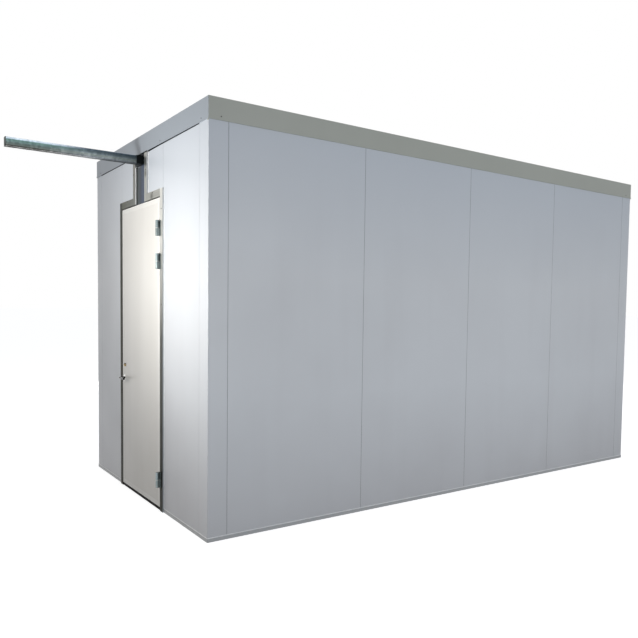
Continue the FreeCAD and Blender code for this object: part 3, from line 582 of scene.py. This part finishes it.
# Slot lips: two sheets of dark blue-grey rubber that meet in the middle of the slot and part when a
# load passes on the rail. Moulded ribs keep them straight.
def moulded_rubber(name, colour, bloom, roughness):
    """Rubber: dark, half-matt, with a paler bloom where it has been handled."""
    material = bpy.data.materials.new(name)
    material.use_nodes = True
    tree = material.node_tree
    tree.nodes.clear()
    place = add(tree, "ShaderNodeTexCoord").outputs["Object"]
    cloud = add(tree, "ShaderNodeTexNoise", {"Scale": 1 / 0.06, "Detail": 3.0}, {"Vector": place})
    skin = add(tree, "ShaderNodeMix", {"data_type": "RGBA", 6: linear(colour), 7: linear(bloom)},
               {0: cloud.outputs[0]})
    pores = add(tree, "ShaderNodeTexNoise", {"Scale": 1 / 0.0015, "Detail": 1.0}, {"Vector": place})
    surface = add(tree, "ShaderNodeBump", {"Strength": 0.2, "Distance": 0.0002}, {"Height": pores.outputs[0]})
    shader = add(tree, "ShaderNodeBsdfPrincipled", {"Roughness": roughness, "Specular IOR Level": 0.06},
                 {"Base Color": skin.outputs[2], "Normal": surface.outputs[0]})
    add(tree, "ShaderNodeOutputMaterial", {}, {"Surface": shader.outputs[0]})
    return material


# The lips are toned in upright bands: the left one greenish grey, the right one bluish, darker at the left
# edge and where they meet.
LIP_TONES = ((-0.143, "#161c18"), (-0.128, "#1f2625"), (-0.104, "#3b4649"), (-0.092, "#313a42"),
             (-0.036, "#29313d"), (-0.03, "#1d222d"), (-0.022, "#313f56"), (0.085, "#2b384f"))
lip_rubber = bpy.data.materials.new("two_tone_lip_rubber")
lip_rubber.use_nodes = True
tree = lip_rubber.node_tree
tree.nodes.clear()
place = add(tree, "ShaderNodeTexCoord").outputs["Object"]
across = add(tree, "ShaderNodeSeparateXYZ", {}, {0: place}).outputs["X"]
rubber = toned(tree, across, LIP_TONES)
bloom = add(tree, "ShaderNodeTexNoise", {"Scale": 1 / 0.06, "Detail": 3.0}, {"Vector": place})
bloom_share = add(tree, "ShaderNodeMapRange", {"From Min": 0.45, "From Max": 0.8, "To Max": 0.3},
                  {"Value": bloom.outputs[0]})
skin = add(tree, "ShaderNodeMix", {"data_type": "RGBA", 7: linear("#48535a")},
           {0: bloom_share.outputs[0], 6: rubber})
shader = add(tree, "ShaderNodeBsdfPrincipled", {"Roughness": 0.45, "IOR": 1.52},
             {"Base Color": skin.outputs[2]})
add(tree, "ShaderNodeOutputMaterial", {}, {"Surface": shader.outputs[0]})
finish(lip_rubber, "slot_lips")

RIB_WIDTH = 4 * MM
RIB_RISE = 1.6 * MM
RIB_PITCH = 23 * MM
ribs = bmesh.new()
rib_count = int((lip_high.x - lip_low.x) / RIB_PITCH)
for index in range(1, rib_count + 1):
    rib = bmesh.ops.create_cube(ribs, size=1)["verts"]
    bmesh.ops.scale(ribs, vec=(RIB_WIDTH, RIB_RISE, lip_high.z - lip_low.z - 12 * MM), verts=rib)
    x = lip_low.x + (index - 0.5) * (lip_high.x - lip_low.x) / rib_count
    bmesh.ops.translate(ribs, vec=(x, lip_low.y - RIB_RISE * 0.45, (lip_low.z + lip_high.z) / 2), verts=rib)
rib_fronts = [edge for edge in ribs.edges
              if max(vert.co.y for vert in edge.verts) < lip_low.y - RIB_RISE * 0.5]
bmesh.ops.bevel(ribs, geom=rib_fronts, offset=1.2 * MM, segments=2, affect="EDGES", profile=0.5, material=-1)
new_piece("slot_lip_ribs", ribs, lip_rubber, "room")


# Door leaf: two pressed trays of coated steel over foam, a warmer white than the walls, with a
# folded edge. A bulb gasket lies on its back, and a rubber strip closes the gap to the ground.
leaf_sheet = coated_steel("coated_leaf_sheet", "#e2e1dd", "#9c978d", 0.36)
finish(leaf_sheet, "door_leaf")

# The pressed border is wiped more often than the field that it surrounds, and is a shade whiter.
leaf_low, leaf_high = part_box("door_leaf")
LEAF_BORDER = 40 * MM
border_middle = ((leaf_low.x + leaf_high.x) / 2, 0, (leaf_low.z + leaf_high.z) / 2)
field_half = ((leaf_high.x - leaf_low.x) / 2 - LEAF_BORDER, (leaf_high.z - leaf_low.z) / 2 - LEAF_BORDER)
tree = leaf_sheet.node_tree
shader = next(node for node in tree.nodes if node.type == "BSDF_PRINCIPLED")
paint = shader.inputs["Base Color"].links[0].from_socket
place = next(node for node in tree.nodes if node.type == "TEX_COORD").outputs["Object"]
centred = add(tree, "ShaderNodeVectorMath", {"operation": "SUBTRACT", 1: border_middle}, {0: place})
spread = add(tree, "ShaderNodeVectorMath", {"operation": "ABSOLUTE"}, {0: centred.outputs[0]})
parts = add(tree, "ShaderNodeSeparateXYZ", {}, {0: spread.outputs[0]})
beyond_side = add(tree, "ShaderNodeMath", {"operation": "GREATER_THAN", 1: field_half[0]},
                  {0: parts.outputs["X"]})
beyond_end = add(tree, "ShaderNodeMath", {"operation": "GREATER_THAN", 1: field_half[1]},
                 {0: parts.outputs["Z"]})
on_border = add(tree, "ShaderNodeMath", {"operation": "MAXIMUM"},
                {0: beyond_side.outputs[0], 1: beyond_end.outputs[0]})
border_share = add(tree, "ShaderNodeMath", {"operation": "MULTIPLY", 1: 0.3}, {0: on_border.outputs[0]})
wiped = add(tree, "ShaderNodeMix", {"data_type": "RGBA", 7: linear("#f4f4f2")},
            {0: border_share.outputs[0], 6: paint})
tree.links.new(wiped.outputs[2], shader.inputs["Base Color"])
black_rubber = moulded_rubber("black_seal_rubber", "#090807", "#12110f", 0.7)
finish(black_rubber, "door_gasket", "door_sweep")

# A soft lip below the strip brushes the ground.
sweep_low, sweep_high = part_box("door_sweep")
GROUND_GAP = 3 * MM
WIPER_DEPTH = 6 * MM
lip_top = sweep_low.z + 5 * MM
sweep_lip = bmesh.new()
made = bmesh.ops.create_cube(sweep_lip, size=1)["verts"]
bmesh.ops.scale(sweep_lip, vec=(sweep_high.x - sweep_low.x, WIPER_DEPTH, lip_top - GROUND_GAP), verts=made)
bmesh.ops.translate(sweep_lip, vec=((sweep_low.x + sweep_high.x) / 2, sweep_low.y + 3.6 * MM,
                                    (lip_top + GROUND_GAP) / 2), verts=made)
new_piece("door_sweep_lip", sweep_lip, black_rubber, "door")

# A thin black bead follows the edge of the leaf on the lock side and along the top: painted shadow of the gap
# between leaf and frame.
SIDE_BEAD = 2 * MM
TOP_BEAD = 2 * MM + 0.6 * MM
BEAD_INSET = 4 * MM
edge_x = leaf_low.x - 1 * MM
edge_y = leaf_low.y + 4 * MM
edge_z = leaf_high.z + 1 * MM
gap_shadow_bead = bmesh.new()
lay_bead(gap_shadow_bead, (edge_x, edge_y, leaf_low.z + BEAD_INSET), (edge_x, edge_y, leaf_high.z - BEAD_INSET),
         SIDE_BEAD, hand)
lay_bead(gap_shadow_bead, (leaf_low.x + BEAD_INSET, edge_y, edge_z), (leaf_high.x - BEAD_INSET, edge_y, edge_z),
         TOP_BEAD, hand)
new_piece("leaf_gap_shadow_bead", gap_shadow_bead, black_rubber, "door")


# Hinges: three lift-off barrel hinges of steel with a bluish zinc passivation, a white nylon ring
# between the knuckles of each. Screws through the plates hold them.
def passivated_zinc(name, colour, cloudy, painted_to=None):
    """Zinc under a thin bluish passivation: a soft metal sheen, cloudy where the bath ran off. Up to
    the x of painted_to it was painted over with the leaf."""
    material = bpy.data.materials.new(name)
    material.use_nodes = True
    tree = material.node_tree
    tree.nodes.clear()
    place = add(tree, "ShaderNodeTexCoord").outputs["Object"]
    clouds = add(tree, "ShaderNodeTexNoise", {"Scale": 1 / 0.018, "Detail": 3.0}, {"Vector": place})
    passivated = add(tree, "ShaderNodeMix", {"data_type": "RGBA", 6: linear(colour), 7: linear(cloudy)},
                     {0: clouds.outputs[0]})
    cast_skin = add(tree, "ShaderNodeBump", {"Strength": 0.2, "Distance": 0.0003},
                    {"Height": clouds.outputs[0]})
    shader = add(tree, "ShaderNodeBsdfPrincipled", {"Metallic": 0.9, "Roughness": 0.34},
                 {"Base Color": passivated.outputs[2], "Normal": cast_skin.outputs[0]})
    surface = shader.outputs[0]
    if painted_to:
        across = add(tree, "ShaderNodeSeparateXYZ", {}, {0: place}).outputs["X"]
        bare = add(tree, "ShaderNodeMath", {"operation": "GREATER_THAN", 1: painted_to}, {0: across})
        coat = add(tree, "ShaderNodeMix", {"data_type": "RGBA", 6: linear("#e2e1dd"), 7: linear("#c9c8c3")},
                   {0: clouds.outputs[0]})
        painted = add(tree, "ShaderNodeBsdfPrincipled", {"Roughness": 0.4}, {"Base Color": coat.outputs[2]})
        surface = add(tree, "ShaderNodeMixShader", {},
                      {0: bare.outputs[0], 1: painted.outputs[0], 2: surface}).outputs[0]
    add(tree, "ShaderNodeOutputMaterial", {}, {"Surface": surface})
    return material


PAINT_END = 0.4335
finish(passivated_zinc("blue_passivated_zinc", "#9aa6a9", "#707d80", PAINT_END), "hinge_leaf_halves")
finish(passivated_zinc("grey_passivated_zinc", "#8f9a9b", "#6a7576"), "hinge_frame_halves")

HINGE_CENTRES = (0.257, 2.02, 2.283)
PLATE_SCREW = 3.4 * MM
PLATE_SCREW_RISE = 1.4 * MM
PLATE_THICKNESS = 4 * MM
FROM_MIDDLE = (-46 * MM, -18 * MM, 18 * MM, 46 * MM)
plate_face = frame_face - PLATE_THICKNESS
for piece_name, screw_x, body in (("hinge_leaf_screws", 0.4245, "door"),
                                  ("hinge_frame_screws", 0.4655, "room")):
    plate_screws = bmesh.new()
    spots = [(screw_x, plate_face, centre + rise) for centre in HINGE_CENTRES for rise in FROM_MIDDLE]
    drive_screws(plate_screws, spots, (0, -1, 0), PLATE_SCREW, PLATE_SCREW_RISE)
    new_piece(piece_name, plate_screws, screw_steel, body)

# Each pin ends in a low dome above its knuckles.
PIN_X = 0.447
PIN_Y = -2.0645
pin_caps = bmesh.new()
for centre in HINGE_CENTRES:
    made = bmesh.ops.create_uvsphere(pin_caps, u_segments=20, v_segments=10, radius=9 * MM)["verts"]
    bmesh.ops.scale(pin_caps, vec=(1, 1, 0.28), verts=made)
    bmesh.ops.translate(pin_caps, vec=(PIN_X, PIN_Y, centre + 61.5 * MM), verts=made)
new_piece("hinge_pin_caps", pin_caps, screw_zinc, "door")

# A white nylon ring between the knuckles carries the leaf.
nylon = bpy.data.materials.new("white_nylon")
nylon.use_nodes = True
tree = nylon.node_tree
tree.nodes.clear()
place = add(tree, "ShaderNodeTexCoord").outputs["Object"]
greased = add(tree, "ShaderNodeTexNoise", {"Scale": 1 / 0.006, "Detail": 2.0}, {"Vector": place})
ring_skin = add(tree, "ShaderNodeMix", {"data_type": "RGBA", 6: linear("#e8e8e4"), 7: linear("#a9a9a4")},
                {0: greased.outputs[0]})
shader = add(tree, "ShaderNodeBsdfPrincipled", {"Roughness": 0.45, "IOR": 1.53},
             {"Base Color": ring_skin.outputs[2]})
add(tree, "ShaderNodeOutputMaterial", {}, {"Surface": shader.outputs[0]})
rings = bmesh.new()
for centre in HINGE_CENTRES:
    bmesh.ops.create_cone(rings, cap_ends=True, segments=32, radius1=14 * MM, radius2=14 * MM, depth=3.4 * MM,
                          matrix=Matrix.Translation((PIN_X, PIN_Y, centre)))
bmesh.ops.bevel(rings, geom=rings.edges[:], offset=0.5 * MM, segments=2, affect="EDGES", profile=0.5,
                material=-1)
new_piece("hinge_rings", rings, nylon, "room")


# Lock: a bent lever on a round rose on each side, chromed, and a brass key cylinder above it whose
# plug has a keyway.
def polished_chrome(name, bright, dark, lit_from, lit_to):
    """Chrome plate: mirror-like and smeared with finger marks. What faces up is painted bright and
    the rest painted dark: a painted reflection, light above and dark below."""
    material = bpy.data.materials.new(name)
    material.use_nodes = True
    tree = material.node_tree
    tree.nodes.clear()
    coordinates = add(tree, "ShaderNodeTexCoord")
    prints = add(tree, "ShaderNodeTexNoise", {"Scale": 1 / 0.012, "Detail": 4.0},
                 {"Vector": coordinates.outputs["Object"]})
    shine = add(tree, "ShaderNodeMapRange",
                {"From Min": 0.4, "From Max": 0.7, "To Min": 0.1, "To Max": 0.24},
                {"Value": prints.outputs[0]})
    upward = add(tree, "ShaderNodeSeparateXYZ", {}, {0: coordinates.outputs["Normal"]}).outputs["Z"]
    # Painted reflection: the colour goes from dark to bright as the face turns up.
    lit = add(tree, "ShaderNodeMapRange", {"From Min": lit_from, "From Max": lit_to}, {"Value": upward})
    chrome = add(tree, "ShaderNodeMix", {"data_type": "RGBA", 6: linear(dark), 7: linear(bright)},
                 {0: lit.outputs[0]})
    shader = add(tree, "ShaderNodeBsdfPrincipled", {"Metallic": 1.0},
                 {"Base Color": chrome.outputs[2], "Roughness": shine.outputs[0]})
    add(tree, "ShaderNodeOutputMaterial", {}, {"Surface": shader.outputs[0]})
    return material


finish(polished_chrome("polished_rose_chrome", "#fafafa", "#ececea", 0.2, 0.8), "lock_roses")
# The lever's dark underside and bright top are painted reflection.
finish(polished_chrome("lever_chrome_painted_reflection", "#d4d3cf", "#14110c", 0.86, 0.99), "lever_handle")

rose_low, rose_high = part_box("lock_roses")
rose_x = (rose_low.x + rose_high.x) / 2
rose_z = (rose_low.z + rose_high.z) / 2
rose_screws = bmesh.new()
for face, outward in ((rose_low.y, -1), (rose_high.y, 1)):
    spots = [(rose_x, face, rose_z + rise) for rise in (-19 * MM, 19 * MM)]
    drive_screws(rose_screws, spots, (0, outward, 0), 2.6 * MM, 1.2 * MM)
new_piece("rose_screws", rose_screws, screw_steel, "door")

lock_brass = bpy.data.materials.new("satin_brass")
lock_brass.use_nodes = True
tree = lock_brass.node_tree
tree.nodes.clear()
place = add(tree, "ShaderNodeTexCoord").outputs["Object"]
tarnish = add(tree, "ShaderNodeTexNoise", {"Scale": 1 / 0.008, "Detail": 3.0}, {"Vector": place})
worn_gold = add(tree, "ShaderNodeMix", {"data_type": "RGBA", 6: linear("#b49c66"), 7: linear("#8d7647")},
                {0: tarnish.outputs[0]})
# The cylinder is painted pale at its foot and dark at its top: painted highlight and painted shade.
height = add(tree, "ShaderNodeSeparateXYZ", {}, {0: place}).outputs["Z"]
key_low, key_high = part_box("key_cylinder")
lower_highlight_share = add(tree, "ShaderNodeMapRange", {"From Min": key_low.z + 7 * MM, "From Max": key_low.z + 2 * MM},
            {"Value": height})
top_shade_share = add(tree, "ShaderNodeMapRange", {"From Min": key_high.z - 14 * MM, "From Max": key_high.z - 7 * MM},
           {"Value": height})
brass_with_lower_highlight = add(tree, "ShaderNodeMix", {"data_type": "RGBA", 7: linear("#e4dbbe")},
             {0: lower_highlight_share.outputs[0], 6: worn_gold.outputs[2]})
brass = add(tree, "ShaderNodeMix", {"data_type": "RGBA", 7: linear("#50463b")},
            {0: top_shade_share.outputs[0], 6: brass_with_lower_highlight.outputs[2]})
shader = add(tree, "ShaderNodeBsdfPrincipled", {"Metallic": 1.0, "Roughness": 0.28},
             {"Base Color": brass.outputs[2]})
add(tree, "ShaderNodeOutputMaterial", {}, {"Surface": shader.outputs[0]})
finish(lock_brass, "key_cylinder")

key_x = (key_low.x + key_high.x) / 2
key_z = (key_low.z + key_high.z) / 2
plug = bmesh.new()
plug_place = Matrix.Translation((key_x, key_low.y - 0.8 * MM, key_z)) @ Matrix.Rotation(pi / 2, 4, "X")
bmesh.ops.create_cone(plug, cap_ends=True, segments=32, radius1=8.5 * MM, radius2=8.0 * MM, depth=2 * MM,
                      matrix=plug_place)
new_piece("key_plug", plug, lock_brass, "door")
# The keyway is drawn as a black block on the plug's face: painted shade of the slot.
keyway = bmesh.new()
made = bmesh.ops.create_cube(keyway, size=1)["verts"]
bmesh.ops.scale(keyway, vec=(2 * MM, 1 * MM, 9 * MM), verts=made)
bmesh.ops.translate(keyway, vec=(key_x, key_low.y - 1.6 * MM, key_z), verts=made)
bmesh.ops.bevel(keyway, geom=keyway.edges[:], offset=0.4 * MM, segments=2, affect="EDGES", profile=0.5,
                material=-1)
new_piece("keyway", keyway, black_rubber, "door")


# Overhead rail: galvanised track of folded sheet, open below, with a stop plate welded on its outer
# end. Hangers of the same steel bolt it to the ceiling. Hot-dip zinc shows as spangle.
rail_zinc = bpy.data.materials.new("hot_dip_galvanised_steel")
rail_zinc.use_nodes = True
tree = rail_zinc.node_tree
tree.nodes.clear()
coordinates = add(tree, "ShaderNodeTexCoord")
place = coordinates.outputs["Object"]
# Spangle is about 8 mm across. It is drawn at 20 mm, which is what the render can show.
spangle = add(tree, "ShaderNodeTexVoronoi", {"Scale": 1 / 0.02}, {"Vector": place})
grey = add(tree, "ShaderNodeSeparateColor", {}, {0: spangle.outputs["Color"]}).outputs[0]
clouds = add(tree, "ShaderNodeTexNoise", {"Scale": 1 / 0.3, "Detail": 3.0}, {"Vector": place})
# The outer stretch has weathered green, with a painted highlight along its shoulder and painted
# shade along its foot. Near the wall the zinc has kept its blue, with painted shade above and a
# paler band below. Tones go by the height above the rail's foot.
OUTER_TONES = ((0.006, "#454643"), (0.009, "#535755"), (0.013, "#68716f"), (0.019, "#66706e"),
               (0.022, "#596664"), (0.026, "#5f6c6a"), (0.034, "#65797a"), (0.050, "#63807a"),
               (0.055, "#a4b9cb"), (0.060, "#e2edf9"))
WALL_TONES = ((0.004, "#767c82"), (0.008, "#8a9095"), (0.024, "#88918f"), (0.032, "#7f8a90"),
              (0.038, "#646f75"), (0.050, "#4d5961"), (0.062, "#485560"), (0.068, "#3e484f"))
rail_low, rail_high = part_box("overhead_rail")
parts = add(tree, "ShaderNodeSeparateXYZ", {}, {0: place})
height = add(tree, "ShaderNodeMath", {"operation": "SUBTRACT", 1: rail_low.z},
             {0: parts.outputs["Z"]}).outputs[0]
near_wall = add(tree, "ShaderNodeMapRange", {"From Min": -2.8, "From Max": -2.45},
                {"Value": parts.outputs["Y"]})
zinc = add(tree, "ShaderNodeMix", {"data_type": "RGBA"},
           {0: near_wall.outputs[0], 6: toned(tree, height, OUTER_TONES), 7: toned(tree, height, WALL_TONES)})
spangled = add(tree, "ShaderNodeMix", {"data_type": "RGBA", "blend_type": "MULTIPLY", 7: linear("#dcdfdf")},
               {0: grey, 6: zinc.outputs[2]})
stained = add(tree, "ShaderNodeMix", {"data_type": "RGBA", "blend_type": "MULTIPLY", 7: linear("#d6d8d4")},
              {0: clouds.outputs[0], 6: spangled.outputs[2]})
shine = add(tree, "ShaderNodeMapRange", {"To Min": 0.34, "To Max": 0.5}, {"Value": grey})
shader = add(tree, "ShaderNodeBsdfPrincipled", {"Metallic": 0.9},
             {"Base Color": stained.outputs[2], "Roughness": shine.outputs[0]})
add(tree, "ShaderNodeOutputMaterial", {}, {"Surface": shader.outputs[0]})
finish(rail_zinc, "overhead_rail", "rail_hangers")
finish(brushed_steel("sawn_rail_end", ((2.86, "#3b4040"), (2.93, "#5c6464")), UPRIGHT_GRAIN), "rail_end_stop")

# Shadow collar: the same black laid over the rail's top and sides where it enters the slot: painted shadow of
# the slot on the rail.
COLLAR_WALL = 2 * MM
COLLAR_OUT = 48 * MM
shadow_collar = bmesh.new()
made = bmesh.ops.create_cube(shadow_collar, size=1)["verts"]
bmesh.ops.scale(shadow_collar, vec=(rail_high.x - rail_low.x + 2 * COLLAR_WALL, COLLAR_OUT + 12 * MM,
                             rail_high.z - rail_low.z + COLLAR_WALL), verts=made)
bmesh.ops.translate(shadow_collar, vec=((rail_low.x + rail_high.x) / 2, front - COLLAR_OUT / 2 + 6 * MM,
                                 (rail_low.z + rail_high.z + COLLAR_WALL) / 2), verts=made)
open_sides = [face for face in shadow_collar.faces if face.normal.z < -0.5 or abs(face.normal.y) > 0.5]
bmesh.ops.delete(shadow_collar, geom=open_sides, context="FACES_ONLY")
bmesh.ops.solidify(shadow_collar, geom=shadow_collar.faces[:], thickness=COLLAR_WALL * 0.8)
new_piece("rail_shadow_collar", shadow_collar, painted_shadow_black, "room")

# Two bolts through each hanger's top flange hold it to the ceiling. Only their heads show.
HANGER_COUNT = 5
HANGER_PITCH = 1.0475
BOLT_RADIUS = 7 * MM
BOLT_HEAD = 5 * MM
BOLT_INSET = 22 * MM
hanger_low, hanger_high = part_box("rail_hangers")
bolts = bmesh.new()
for number in range(HANGER_COUNT):
    y = hanger_low.y + 30 * MM + number * HANGER_PITCH
    for x in (hanger_low.x + BOLT_INSET, hanger_high.x - BOLT_INSET):
        z = hanger_high.z - 8 * MM - BOLT_HEAD / 2
        bmesh.ops.create_cone(bolts, cap_ends=True, segments=6, radius1=BOLT_RADIUS, radius2=BOLT_RADIUS,
                              depth=BOLT_HEAD, matrix=Matrix.Translation((x, y, z)))
bmesh.ops.bevel(bolts, geom=bolts.edges[:], offset=0.6 * MM, segments=2, affect="EDGES", profile=0.5,
                material=-1)
new_piece("hanger_bolts", bolts, screw_zinc, "room")
